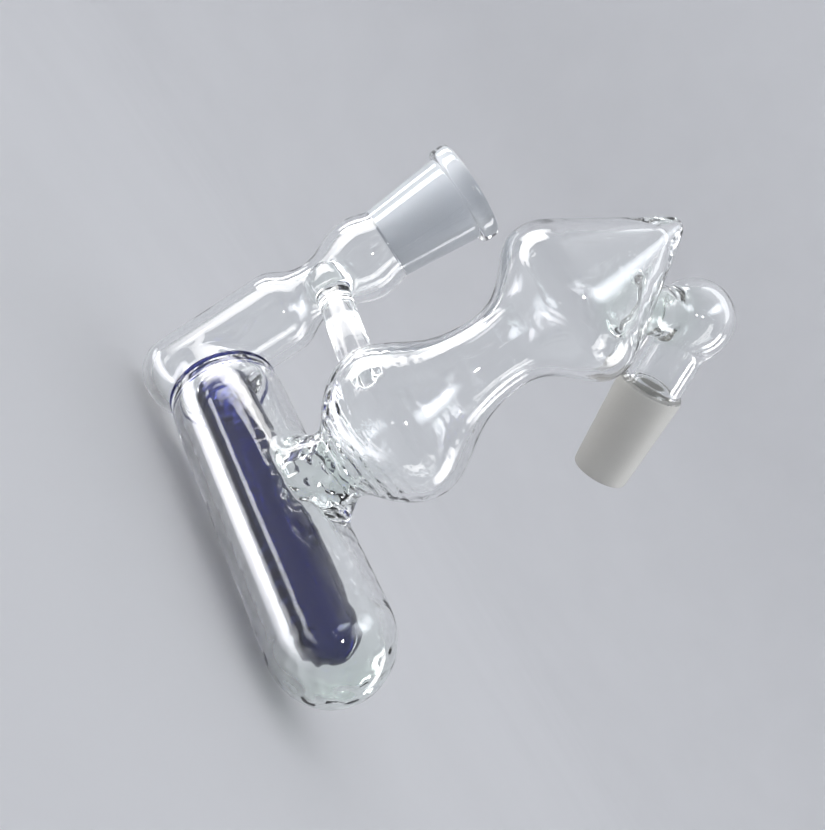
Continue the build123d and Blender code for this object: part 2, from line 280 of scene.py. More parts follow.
# ---- The clear body: everything fused by the flame ----
riser_skin = Turned(
    JUNCTION, UP,
    reverse(dome(RISER_RADIUS, RISER_FLOOR + RISER_DOME, -RISER_DOME))
    + curve(NECK, STRAIGHT, STRAIGHT) + curve(BULGE, STRAIGHT, BULGE_SLOPE)
    + [(9.8, SOCKET_TOP)]
    + corner((RIM_RADIUS - RIM_EDGE, SOCKET_TOP + RIM_EDGE), RIM_EDGE, -90, 0)
    + corner((RIM_RADIUS - RIM_EDGE, MOUTH_HEIGHT - RIM_EDGE), RIM_EDGE, 0, 90)
    + [(0, MOUTH_HEIGHT)],
)
riser_air = Turned(
    JUNCTION, UP,
    reverse(dome(RISER_RADIUS - WALL, RISER_FLOOR + RISER_DOME, WALL - RISER_DOME))
    + curve(inset(NECK, WALL), STRAIGHT, STRAIGHT) + curve(inset(BULGE, WALL), STRAIGHT, BULGE_SLOPE)
    + [(JOINT_RADIUS, MOUTH_HEIGHT), (JOINT_RADIUS, MOUTH_HEIGHT + 3), (0, MOUTH_HEIGHT + 3)],
)
chamber_skin = Turned(
    JUNCTION, CHAMBER_DIR,
    [(0, SHOULDER[0][1])] + curve(SHOULDER, SHOULDER_SLOPE, STRAIGHT)
    + dome(CHAMBER_RADIUS, CHAMBER_END - CHAMBER_DOME, CHAMBER_DOME),
)
chamber_air = Turned(
    JUNCTION, CHAMBER_DIR,
    [(0, SHOULDER[0][1])] + curve(inset(SHOULDER, WALL), SHOULDER_SLOPE, STRAIGHT)
    + dome(CHAMBER_RADIUS - WALL, CHAMBER_END - CHAMBER_DOME, CHAMBER_DOME - END_WALL),
)
neck_core = Turned(
    JUNCTION, CHAMBER_DIR,
    [(0, CORE_START), (CORE_RADIUS, CORE_START), (CORE_RADIUS, CORE_END), (0, CORE_END)],
)
blue_passage = Turned(
    JUNCTION, CHAMBER_DIR,
    [(0, CORE_START), (BLUE_BORE, CORE_START), (BLUE_BORE, CORE_END + 2.0), (0, CORE_END + 2.0)],
)
column_skin = Turned(
    COLUMN_FOOT, COLUMN_DIR,
    [(0, 7.0)] + curve(COLLAR, (-0.2, 1), STRAIGHT) + curve(LOWER_BULB, STRAIGHT, STRAIGHT)
    + curve(UPPER_BULB, STRAIGHT, CONE_SLOPE) + curve([CONE_HEAD, CONE_TIP], CONE_SLOPE, INWARDS),
)
upper_inside = inset(UPPER_BULB, WALL)
upper_inside[-1] = (UPPER_BULB[-1][0] - WALL * 0.95, UPPER_BULB[-1][1] - WALL * 0.55)
column_air = Turned(
    COLUMN_FOOT, COLUMN_DIR,
    [(0, 2.0), (COLUMN_BORE, 2.0)] + curve(inset(LOWER_BULB, WALL), STRAIGHT, STRAIGHT)
    + curve(upper_inside, STRAIGHT, CONE_SLOPE) + curve([HOLLOW_EDGE, HOLLOW_TIP], CONE_SLOPE, INWARDS),
)
outlet_skin = Turned(
    OUTLET_ROOT, OUTLET_DIR,
    [(0, 8.0), (6.8, 8.0)] + curve([(6.8, 12.2), (5.4, 16.5), (OUTLET_RADIUS, 19.0)], (-0.5, 0.87), STRAIGHT)
    + [(OUTLET_RADIUS, OUTLET_REACH), (0, OUTLET_REACH)],
)
outlet_air = Turned(
    OUTLET_ROOT, OUTLET_DIR,
    [(0, 6.0), (OUTLET_BORE, 6.0), (OUTLET_BORE, OUTLET_REACH), (0, OUTLET_REACH)],
)
drop_skin = Turned(
    BALL_CENTRE, CONE_DIR,
    [(0, 0), (DROP_RADIUS, 0), (DROP_RADIUS, 15.4), (7.0, 16.2), (7.15, 16.6), (7.1, 17.0), (0, 17.0)],
)
drop_air = Turned(
    BALL_CENTRE, CONE_DIR,
    [(0, 0), (4.4, 0), (4.4, 15.0), (5.05, 16.6), (5.05, 19.0), (0, 19.0)],
)
rod_skin = Turned(
    ROD_START, ROD_DIR,
    [(0, 0), (4.7, 0)] + curve([(4.7, 3.4), (3.85, 6.0), (3.65, 8.0)], STRAIGHT, STRAIGHT)
    + [(3.65, ROD_LENGTH), (0, ROD_LENGTH)],
)
rod_nub = Turned(
    ROD_START, ROD_DIR,
    [(0, ROD_LENGTH - 3), (3.6, ROD_LENGTH - 3)]
    + curve([(3.6, ROD_LENGTH), (2.9, ROD_LENGTH + 1.1), (0, ROD_LENGTH + 1.6)], STRAIGHT, INWARDS),
)

COLLAR_CENTRE = COLUMN_FOOT + COLUMN_DIR * 11 * mm
BULB_FOOT = COLUMN_FOOT + COLUMN_DIR * 18 * mm
CHAMBER_TIP = JUNCTION + CHAMBER_DIR * 82 * mm
OUTLET_WELD = OUTLET_ROOT + OUTLET_DIR * 13.5 * mm
BALL_WELD = OUTLET_ROOT + OUTLET_DIR * (OUTLET_REACH - 6.9) * mm
ROD_WELD = ROD_START + ROD_DIR * 4 * mm


# How far each weld's fillet spreads, and the ripples that the flame leaves: height, then length.
CORE_WELD, CHAMBER_WELD, CHAMBER_EDGE, FLOOR_EDGE = 1.2, 0.8, 1.4, 1.6
OUTLET_FILLET, ELBOW_FILLET, CONE_FILLET, COLLAR_FILLET, ROD_FILLET = 1.6, 1.2, 0.9, 2.6, 1.0
ELBOW_BEAD, BEAD_FILLET = 0.75, 0.35
NUB_EDGE, OUTLET_AIR_EDGE, ELBOW_AIR_EDGE, BULB_AIR_EDGE, BALL_AIR_EDGE = 0.6, 1.2, 1.0, 1.6, 0.8
BODY_EDGE, BLUE_EDGE = 0.35, 0.3
LUMP_HEIGHT, LUMP_LENGTH = 0.14, 5.0
SLOW_HEIGHT, SLOW_LENGTH, FLAME_LENGTH = 0.02, 14.0, 3.0
RING_HEIGHT, RING_TURNS = 0.2, 3.3
BLUE_HEIGHT, BLUE_LENGTH = 0.02, 16.0
THICK_PLACES = [(COLLAR_CENTRE, 8), (CHAMBER_TIP, 8), (OUTLET_WELD, 6), (BALL_WELD, 5), (ROD_WELD, 4)]
FLAME_PLACES = [
    (0.22, CHAMBER_TIP, 9.5), (0.42, COLLAR_CENTRE, 8.5), (0.12, BULB_FOOT, 11.0),
    (0.30, OUTLET_WELD, 8.0), (0.15, ROD_WELD, 6.0),
]


def riser_distance(points):
    """How far each point is from the riser's axis, in millimetres."""
    away = (points - JUNCTION) / mm
    height = away @ UP
    return np.sqrt(np.maximum((away * away).sum(1) - height**2, 0))


def past_chamber(points, height):
    """How far each point is past a height along the chamber, in millimetres."""
    return (points - JUNCTION) @ CHAMBER_DIR / mm - height


def skin_distance(points):
    """The whole outside of the clear glass, as if it were solid."""
    chamber = -fuse(-chamber_skin(points), past_chamber(points, CHAMBER_START), CHAMBER_EDGE)
    riser = fuse(fuse(riser_skin(points), neck_core(points), CORE_WELD), chamber, CHAMBER_WELD)
    outlet = fuse(column_skin(points), outlet_skin(points), OUTLET_FILLET)
    elbow = fuse(ball(points, BALL_CENTRE, BALL_RADIUS), drop_skin(points), ELBOW_FILLET)
    ring = bead(points, BALL_WELD, OUTLET_DIR, OUTLET_RADIUS - BEAD_FILLET, ELBOW_BEAD)
    column = fuse(outlet, fuse(elbow, ring, BEAD_FILLET), CONE_FILLET)
    body = fuse(fuse(riser, column, COLLAR_FILLET), rod_skin(points), ROD_FILLET)
    lumps = waves(points, 5, LUMP_LENGTH) * spot(points, COLLAR_CENTRE, 7.0) * LUMP_HEIGHT
    return body + lumps


def air_distance(points):
    """All the hollows, joined."""
    chamber = -fuse(-chamber_air(points), past_chamber(points, CHAMBER_FLOOR), FLOOR_EDGE)
    flame = waves(points, 2, FLAME_LENGTH)
    slow = waves(points, 3, SLOW_LENGTH)
    weld = flame * sum(height * spot(points, place, radius) for height, place, radius in FLAME_PLACES)
    turns = (points - COLUMN_FOOT) @ COLUMN_DIR / mm * RING_TURNS
    rings = np.sin(turns + slow) * spot(points, BULB_FOOT, 13.0) * RING_HEIGHT
    column = carve(column_air(points), rod_nub(points), NUB_EDGE)
    outlet = fuse(column, outlet_air(points), OUTLET_AIR_EDGE)
    elbow = fuse(ball(points, BALL_CENTRE, BALL_RADIUS - WALL), drop_air(points), ELBOW_AIR_EDGE)
    hollow = fuse(fuse(chamber, outlet, BULB_AIR_EDGE), elbow, BALL_AIR_EDGE)
    hollow = np.minimum(hollow, np.minimum(riser_air(points), blue_passage(points)))
    smooth_places = np.maximum(spot(points, JUNCTION + UP * 56 * mm, 14.0), spot(points, ROD_END, 7.0))
    return hollow + (weld + rings + slow * SLOW_HEIGHT) * (1 - smooth_places)


def body_distance(points):
    return carve(skin_distance(points), air_distance(points), BODY_EDGE)


# ---- The blue inner tube and its seal ----
blue_skin = Turned(
    JUNCTION, CHAMBER_DIR,
    [(0, BLUE_START), (BLUE_RADIUS, BLUE_START), (BLUE_RADIUS, BLUE_END - BLUE_RADIUS)]
    + corner((0, BLUE_END - BLUE_RADIUS), BLUE_RADIUS, 0, 90, 16)[1:],
)
blue_air = Turned(
    JUNCTION, CHAMBER_DIR,
    [(0, BLUE_START - 1.6), (BLUE_BORE, BLUE_START - 1.6), (BLUE_BORE, BLUE_END - BLUE_RADIUS)]
    + corner((0, BLUE_END - BLUE_RADIUS), BLUE_BORE, 0, 90, 16)[1:],
)
SLIT_COUNT, SLIT_PITCH, SLIT_MIDDLE, SLIT_WIDTH, SLIT_LENGTH = 5, 4.0, 62.0, 1.2, 7.0
CHAMBER_DOWN = np.cross(CHAMBER_DIR, [0, 1, 0]) * -1


def slits(points):
    """The slots across the tube's underside."""
    away = (points - JUNCTION) / mm
    along, across, down = away @ CHAMBER_DIR, away[:, 1], away @ CHAMBER_DOWN
    half = (SLIT_LENGTH - SLIT_WIDTH) / 2
    span = np.maximum(np.abs(across) - half, 0)
    first = SLIT_MIDDLE - SLIT_PITCH * (SLIT_COUNT - 1) / 2
    nearest = first + SLIT_PITCH * np.clip(np.round((along - first) / SLIT_PITCH), 0, SLIT_COUNT - 1)
    return np.maximum(np.hypot(span, along - nearest) - SLIT_WIDTH / 2, 1 - down)


def blue_distance(points):
    """The tube, wavy inside, cut to the riser's side and slotted."""
    wavy = waves(points, 8, BLUE_LENGTH) * BLUE_HEIGHT
    tube = carve(blue_skin(points), blue_air(points) + wavy, BLUE_EDGE)
    end = np.maximum(tube, RISER_RADIUS + BLUE_EDGE - riser_distance(points))
    return carve(end, slits(points), BLUE_EDGE)


def seal_distance(points):
    """A rope of blue glass round the chamber's start, standing a little proud."""
    centre = JUNCTION + CHAMBER_DIR * SEAL_PLACE * mm
    return bead(points, centre, CHAMBER_DIR, SEAL_RING, SEAL_BEAD)


# ---- From distances to a mesh ----
EDGE_STARTS = [
    [(0, 0, 0), (0, 1, 0), (0, 0, 1), (0, 1, 1)],
    [(0, 0, 0), (1, 0, 0), (0, 0, 1), (1, 0, 1)],
    [(0, 0, 0), (1, 0, 0), (0, 1, 0), (1, 1, 0)],
]


def net(field, low, grain):
    """Points and four-sided faces round the inside of a block of distances."""
    inside = field < 0
    across, deep, high = np.array(field.shape) - 1
    corners = np.zeros((across, deep, high), np.int8)
    for i in (0, 1):
        for j in (0, 1):
            for k in (0, 1):
                corners += inside[i : across + i, j : deep + j, k : high + k]
    active = (corners > 0) & (corners < 8)
    cells = np.argwhere(active)
    number = np.full(active.shape, -1)
    number[active] = np.arange(len(cells))
    total, hits = np.zeros((len(cells), 3)), np.zeros(len(cells))
    for axis in range(3):
        step = np.eye(3, dtype=int)[axis]
        for start in EDGE_STARTS[axis]:
            a = cells + start
            b = a + step
            fa, fb = field[tuple(a.T)], field[tuple(b.T)]
            cut = (fa < 0) != (fb < 0)
            share = fa[cut] / (fa[cut] - fb[cut])
            total[cut] += np.array(start) + share[:, None] * step
            hits[cut] += 1
    points = low + (cells + total / hits[:, None]) * grain
    faces = []
    for axis in range(3):
        step = np.eye(3, dtype=int)[axis]
        one, two = np.eye(3, dtype=int)[(axis + 1) % 3], np.eye(3, dtype=int)[(axis + 2) % 3]
        low_part = np.take(inside, range(inside.shape[axis] - 1), axis)
        high_part = np.take(inside, range(1, inside.shape[axis]), axis)
        edges = np.argwhere(low_part != high_part)
        leaving = low_part[tuple(edges.T)]
        ring = [number[tuple((edges - shift).T)] for shift in (one + two, two, 0 * one, one)]
        quads = np.stack(ring, 1)
        quads[~leaving] = quads[~leaving][:, ::-1]
        faces.append(quads)
    return points, np.concatenate(faces)


def relax(points, faces, distance):
    """Evens out the faces and sets every point exactly on the surface."""
    for _ in range(3):
        total, hits = np.zeros(points.shape), np.zeros(len(points))
        for a, b in ((0, 1), (1, 2), (2, 3), (3, 0)):
            for here, there in ((a, b), (b, a)):
                np.add.at(total, faces[:, here], points[faces[:, there]])
                np.add.at(hits, faces[:, here], 1)
        points = points * 0.5 + total / hits[:, None] * 0.5
        points = settle(points, distance)
    return settle(points, distance)


def settle(points, distance):
    """Moves each point along the distance's slope to the surface, by a short step at most."""
    reach, step_limit = 0.05 * mm, 0.4 * mm
    steepness = 0.3
    slope = np.zeros(points.shape)
    for axis in range(3):
        step = np.eye(3)[axis] * reach
        slope[:, axis] = (distance(points + step) - distance(points - step)) / (2 * reach / mm)
    off = np.clip(distance(points)[:, None] * mm, -step_limit, step_limit)
    return points - off * slope / np.maximum((slope**2).sum(1), steepness)[:, None]


def mesh_from(name, distance, low, high, grain):
    """A closed mesh of the solid that a distance describes, inside a box."""
    low, high = np.array(low) - 2 * grain, np.array(high) + 2 * grain
    counts = np.ceil((high - low) / grain).astype(int) + 1
    xs, ys, zs = (low[i] + np.arange(counts[i]) * grain for i in range(3))
    layer = np.stack(np.meshgrid(ys, zs, indexing="ij"), -1).reshape(-1, 2)
    field = np.zeros(tuple(counts))
    thickness = 12
    for i in range(0, counts[0], thickness):
        slab = xs[i : i + thickness]
        points = np.concatenate([np.column_stack([np.full(len(layer), x), layer]) for x in slab])
        field[i : i + thickness] = distance(points).reshape(len(slab), counts[1], counts[2])
    points, faces = net(field, low, grain)
    points = relax(points, faces, distance)
    mesh = bpy.data.meshes.new(name)
    mesh.from_pydata(points.tolist(), [], faces.tolist())
    mesh.update()
    mesh.shade_smooth()
    return mesh


def refine(mesh, distance, wanted):
    """Divides the faces whose points are wanted, and sets the new points on the surface."""
    work = bmesh.new()
    work.from_mesh(mesh)
    chosen = wanted(np.array([v.co for v in work.verts]))
    edges = [e for e in work.edges if chosen[e.verts[0].index] and chosen[e.verts[1].index]]
    bmesh.ops.subdivide_edges(work, edges=edges, cuts=1, use_grid_fill=True)
    work.to_mesh(mesh)
    work.free()
    points = np.array([v.co for v in mesh.vertices])
    points = settle(settle(points, distance), distance)
    mesh.vertices.foreach_set("co", points.astype(np.float32).ravel())
    mesh.update()
    mesh.shade_smooth()


def near_tip(points):
    """Whether each point is near the upper bulb's tip."""
    return np.linalg.norm(points - COLUMN_FOOT - COLUMN_DIR * 90 * mm, axis=1) < 6 * mm


def near_edges(points):
    """Whether each point is near the socket's rim, the tip, the cone's shoulder or the rod's end."""
    in_rim = ((points - JUNCTION) @ UP / mm > SOCKET_TOP - 1.5) & (riser_distance(points) < RIM_RADIUS + 1)
    in_tip = near_tip(points)
    in_shoulder = np.abs((points - CONE_END) @ CONE_DIR) < 3 * mm
    in_shoulder &= np.linalg.norm(points - CONE_END, axis=1) < 9 * mm
    in_nub = np.linalg.norm(points - ROD_END, axis=1) < 5.5 * mm
    return in_rim | in_tip | in_shoulder | in_nub


def piece_from(mesh, material, slot, *nodes):
    """A finished piece: its object and material, hung on the root body, with the nodes that it stands for
    hidden.
    """
    piece = bpy.data.objects.new(mesh.name, mesh)
    glassware().objects.link(piece)
    if not mesh.materials:
        mesh.materials.append(material)
    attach(piece, "root")
    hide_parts(*nodes)


def node_box(name):
    """The lowest and highest corners of a node in the frame."""
    low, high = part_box(name)
    return np.array(low), np.array(high)


# ---- Node maths ----
class Signal:
    """One output socket, so that node maths reads as arithmetic."""

    def __init__(self, graph, socket):
        self.graph, self.socket = graph, socket

    def maths(self, operation, *values):
        return self.graph.node("ShaderNodeMath", {"operation": operation}, dict(enumerate(values)))

    def __add__(self, other):
        return self.maths("ADD", self, other)

    def __sub__(self, other):
        return self.maths("SUBTRACT", self, other)

    def __rsub__(self, other):
        return self.maths("SUBTRACT", other, self)

    def __mul__(self, other):
        return self.maths("MULTIPLY", self, other)

    def __rmul__(self, other):
        return self.maths("MULTIPLY", other, self)

    def __truediv__(self, other):
        return self.maths("DIVIDE", self, other)

    def __pow__(self, other):
        return self.maths("POWER", self, other)


class Graph:
    """A node tree, built one node at a time."""

    def __init__(self, tree):
        self.tree = tree

    def node(self, kind, settings=None, inputs=None, output=0):
        made = self.tree.nodes.new(kind)
        for name, value in (settings or {}).items():
            setattr(made, name, value)
        for key, value in (inputs or {}).items():
            if isinstance(value, Signal):
                self.tree.links.new(value.socket, made.inputs[key])
            else:
                made.inputs[key].default_value = value
        self.last = made
        return Signal(self, made.outputs[output]) if len(made.outputs) else None

    def blend(self, factor, first, second):
        settings = {"data_type": "RGBA", "blend_type": "MIX"}
        return self.node("ShaderNodeMix", settings, {0: factor, 6: first, 7: second}, 2)


def new_material(name):
    """An empty material and its graph."""
    material = bpy.data.materials.new(name)
    material.use_nodes = True
    material.node_tree.nodes.clear()
    return material, Graph(material.node_tree)


def noise(graph, where, scale, detail=2.0):
    return graph.node("ShaderNodeTexNoise", {}, {"Vector": where, "Scale": scale, "Detail": detail})


def object_place(graph):
    return graph.node("ShaderNodeTexCoord", output="Object")


def finish_material(graph, surface, volume=None):
    inputs = {"Surface": surface}
    if volume is not None:
        inputs["Volume"] = volume
    graph.node("ShaderNodeOutputMaterial", {}, inputs)


def bumped(graph, height, distance, strength=1.0):
    return graph.node("ShaderNodeBump", {}, {"Height": height, "Distance": distance, "Strength": strength})


def clear_glass():
    """Fire-polished borosilicate: faint flame waves, and a green cast where it is thick."""
    material, graph = new_material("clear_glass")
    where = object_place(graph)
    thick = graph.node("ShaderNodeAttribute", {"attribute_name": "weld"}, output="Fac")
    colour = graph.blend(thick, (0.985, 0.992, 0.992, 1), (0.84, 0.93, 0.87, 1))
    smear = noise(graph, where, 160.0)
    height = noise(graph, where, 210.0, 1.0)
    surface = graph.node(
        "ShaderNodeBsdfPrincipled", {},
        {
            "Base Color": colour, "Roughness": smear * 0.03, "IOR": 1.47, "Transmission Weight": 1.0,
            "Normal": bumped(graph, height, 0.00005),
        },
    )
    finish_material(graph, surface)
    return material


def blue_glass(tint):
    """Cobalt glass: the colour is in its depth, with a few streaks from drawing the tube."""
    material, graph = new_material("blue_glass")
    where = object_place(graph)
    streaks = noise(graph, where, 260.0)
    colour = graph.blend(streaks, (0.66, 0.72, 1.0, 1), (0.84, 0.88, 1.0, 1))
    surface = graph.node(
        "ShaderNodeBsdfPrincipled", {},
        {
            "Base Color": colour, "Roughness": 0.01, "IOR": 1.47, "Transmission Weight": 1.0,
            "Normal": bumped(graph, streaks, 0.00002),
        },
    )
    depth = graph.node("ShaderNodeVolumeAbsorption", {}, {"Color": (*tint, 1), "Density": 1500.0})
    finish_material(graph, surface, depth)
    return material


def seal_glass(tint):
    """The same blue in the rope of the seal, where it is thick and so nearly black."""
    material, graph = new_material("seal_glass")
    streaks = noise(graph, object_place(graph), 400.0)
    colour = graph.blend(streaks, (0.86, 0.89, 1.0, 1), (0.97, 0.98, 1.0, 1))
    surface = graph.node(
        "ShaderNodeBsdfPrincipled", {},
        {"Base Color": colour, "Roughness": 0.0, "IOR": 1.3, "Transmission Weight": 1.0},
    )
    depth = graph.node("ShaderNodeVolumeAbsorption", {}, {"Color": (*tint, 1), "Density": 2600.0})
    finish_material(graph, surface, depth)
    return material


def satin_glass(name, pale, dull, transmission):
    """Ground glass: a matt white skin with a fine even grain and slight clouding."""
    material, graph = new_material(name)
    where = object_place(graph)
    clouds = noise(graph, where, 140.0, 4.0)
    grain = noise(graph, where, 5200.0, 3.0)
    colour = graph.blend(clouds * 0.7 + grain * 0.3, (*dull, 1), (*pale, 1))
    surface = graph.node(
        "ShaderNodeBsdfPrincipled", {},
        {
            "Base Color": colour, "Roughness": grain * 0.2 + 0.48, "IOR": 1.47,
            "Transmission Weight": transmission, "Normal": bumped(graph, grain, 0.00006, 0.7),
        },
    )
    finish_material(graph, surface)
    return material


def floor_paint(shade):
    """Matt pale paper with a very faint mottle."""
    material, graph = new_material("pale_floor")
    mottle = noise(graph, object_place(graph), 14.0, 5.0)
    low, high = (tuple(shade[i] * k for i in range(3)) + (1,) for k in (0.97, 1.03))
    surface = graph.node(
        "ShaderNodeBsdfPrincipled", {},
        {"Base Color": graph.blend(mottle, low, high), "Roughness": 0.9, "Specular IOR Level": 0.1},
    )
    finish_material(graph, surface)
    return material


# ---- Geometry node trees ----
def new_tree(name, inputs):
    """A geometry tree with named number inputs; gives the graph and what comes in."""
    tree = bpy.data.node_groups.new(name, "GeometryNodeTree")
    for label, kind, value in inputs:
        made = tree.interface.new_socket(label, in_out="INPUT", socket_type=kind)
        made.default_value = value
    tree.interface.new_socket("Geometry", in_out="OUTPUT", socket_type="NodeSocketGeometry")
    graph = Graph(tree)
    graph.node("NodeGroupInput")
    given = {socket.name: Signal(graph, socket) for socket in graph.last.outputs if socket.name}
    return graph, given


def end_tree(graph, geometry, material):
    """Makes the tree's result real, paints it and sends it out."""
    real = graph.node("GeometryNodeRealizeInstances", {}, {0: geometry})
    graph.node("GeometryNodeSetMaterial", {}, {"Geometry": real, "Material": material})
    painted = Signal(graph, graph.last.outputs[0])
    graph.node("NodeGroupOutput", {}, {0: painted})


def grown(name, graph, values):
    """Runs a tree and gives its result as a plain mesh."""
    start = bpy.data.objects.new(name + "_start", bpy.data.meshes.new(name + "_start"))
    bpy.context.scene.collection.objects.link(start)
    modifier = start.modifiers.new("grow", "NODES")
    modifier.node_group = graph.tree
    for item in graph.tree.interface.items_tree:
        if item.in_out == "INPUT" and item.name in values:
            modifier[item.identifier] = values[item.name]
    result = bpy.data.meshes.new_from_object(start.evaluated_get(bpy.context.evaluated_depsgraph_get()))
    start.modifiers.remove(modifier)
    bpy.data.objects.remove(start)
    result.name = name
    return result


def sleeve_tree(material):
    """A tapered sleeve with rounded ends: a grid wrapped twice, round the axis and round its section."""
    sizes = {"Wide Radius": 7.3, "Narrow Radius": 6.1, "Length": 22.0, "Wall": 2.0}
    inputs = [(label, "NodeSocketFloat", size * mm) for label, size in sizes.items()]
    inputs += [("Squareness", "NodeSocketFloat", 0.16)]
    inputs += [("Sides", "NodeSocketInt", 128), ("Around", "NodeSocketInt", 64)]
    graph, given = new_tree("tapered_sleeve", inputs)
    counts = {
        "Size X": 1.0, "Size Y": 1.0,
        "Vertices X": given["Sides"] + 1, "Vertices Y": given["Around"] + 1,
    }
    grid = graph.node("GeometryNodeMeshGrid", {}, counts)
    place = graph.node("GeometryNodeInputPosition")
    graph.node("ShaderNodeSeparateXYZ", {}, {0: place})
    x, y = (Signal(graph, graph.last.outputs[i]) for i in (0, 1))
    turn, section = x * (2 * math.pi), y * (2 * math.pi)

    def rounded(operation):
        """A wave with its tops squared off, for the section's corners."""
        wave = graph.node("ShaderNodeMath", {"operation": operation}, {0: section})
        size = graph.node("ShaderNodeMath", {"operation": "ABSOLUTE"}, {0: wave})
        sign = graph.node("ShaderNodeMath", {"operation": "SIGN"}, {0: wave})
        return sign * size ** given["Squareness"]

    height = (rounded("SINE") * 0.5 + 0.5) * given["Length"]
    taper = given["Narrow Radius"] - given["Wide Radius"]
    outside = given["Wide Radius"] + taper * height / given["Length"]
    radius = outside + (rounded("COSINE") * 0.5 - 0.5) * given["Wall"]
    cosine = graph.node("ShaderNodeMath", {"operation": "COSINE"}, {0: turn})
    sine = graph.node("ShaderNodeMath", {"operation": "SINE"}, {0: turn})
    spot_on = graph.node("ShaderNodeCombineXYZ", {}, {0: radius * cosine, 1: radius * sine, 2: height})
    moved = graph.node("GeometryNodeSetPosition", {}, {"Geometry": grid, "Position": spot_on})
    closed = graph.node("GeometryNodeMergeByDistance", {}, {"Geometry": moved, "Distance": 0.000001})
    smooth = graph.node("GeometryNodeSetShadeSmooth", {}, {"Geometry": closed})
    end_tree(graph, smooth, material)
    return graph


def stood(mesh, foot, axis):
    """Turns a mesh made along +Z onto an axis and puts its foot in place."""
    turn = Vector((0, 0, 1)).rotation_difference(Vector(axis)).to_matrix().to_4x4()
    turn.translation = Vector(foot)
    mesh.transform(turn)
    mesh.update()
    return mesh


def turned_right_way(mesh):
    """Makes the faces of a closed mesh point outwards."""
    corners = np.array([v.co for v in mesh.vertices])
    volume = 0.0
    for face in mesh.polygons:
        a, *others = (corners[i] for i in face.vertices)
        for b, c in zip(others, others[1:]):
            volume += float(np.dot(a, np.cross(b, c)))
    if volume < 0:
        mesh.flip_normals()
    return mesh


# ---- Settings ----
class BubblerSettings(bpy.types.PropertyGroup):
    grain: FloatProperty(
        name="Grain", description="Size of the faces of the clear glass",
        default=0.79 * mm, unit="LENGTH",
    )
    fine_grain: FloatProperty(
        name="Fine grain", description="Size of the faces of the blue glass",
        default=0.42 * mm, unit="LENGTH",
    )
    blue: FloatVectorProperty(
        name="Blue", description="Colour of the inner tube in depth",
        default=(0.09, 0.13, 0.56), subtype="COLOR",
    )
    socket_white: FloatVectorProperty(
        name="Socket white", description="Colour of the ground socket",
        default=(0.66, 0.69, 0.74), subtype="COLOR",
    )
    cone_white: FloatVectorProperty(
        name="Cone white", description="Colour of the ground cone",
        default=(0.60, 0.59, 0.56), subtype="COLOR",
    )
    floor_shade: FloatVectorProperty(
        name="Floor", description="Colour of the floor",
        default=(0.80, 0.80, 0.81), subtype="COLOR",
    )
    camera_distance: FloatProperty(
        name="Camera distance", description="From the camera to the middle",
        default=208.26 * mm, unit="LENGTH",
    )


class BUBBLER_OT_clear_body(bpy.types.Operator):
    """Blow the clear glass: riser, chamber, bulbs, rod, elbow and drop tube, all fused"""

    bl_idname = "bubbler.clear_body"
    bl_label = "Blow the clear glass"

    def execute(self, context):
        settings = context.scene.bubbler
        mesh = mesh_from("clear_body", body_distance, *cad_box, settings.grain)
        refine(mesh, body_distance, near_edges)
        refine(mesh, body_distance, near_tip)
        points = np.array([v.co for v in mesh.vertices])
        weld = np.zeros(len(points))
        for centre, radius in THICK_PLACES:
            weld = np.maximum(weld, spot(points, centre, radius))
        mesh.attributes.new("weld", "FLOAT", "POINT").data.foreach_set("value", weld.astype(np.float32))
        piece_from(
            mesh, clear_glass(), "clear_glass",
            "socket_rim", "bulge_tube", "riser_tube", "chamber_tube", "weld_collar", "lower_bulb",
            "upper_bulb", "support_rod", "outlet_neck", "elbow_ball", "drop_tube", "cone_shoulder",
        )
        return {"FINISHED"}


class BUBBLER_OT_blue_glass(bpy.types.Operator):
    """Draw the blue inner tube with its slits, and the seal round its mouth"""

    bl_idname = "bubbler.blue_glass"
    bl_label = "Draw the blue tube"

    def execute(self, context):
        settings = context.scene.bubbler
        tube = mesh_from("blue_inner_tube", blue_distance, *node_box("blue_tube"), settings.fine_grain)
        piece_from(tube, blue_glass(tuple(settings.blue)), "blue_glass", "blue_tube")
        low, high = node_box("blue_seal")
        room, seal_grain = 3 * mm, 0.25 * mm
        seal = mesh_from("blue_seal_ring", seal_distance, low - room, high + room, seal_grain)
        piece_from(seal, seal_glass(tuple(settings.blue)), "blue_glass", "blue_seal")
        return {"FINISHED"}


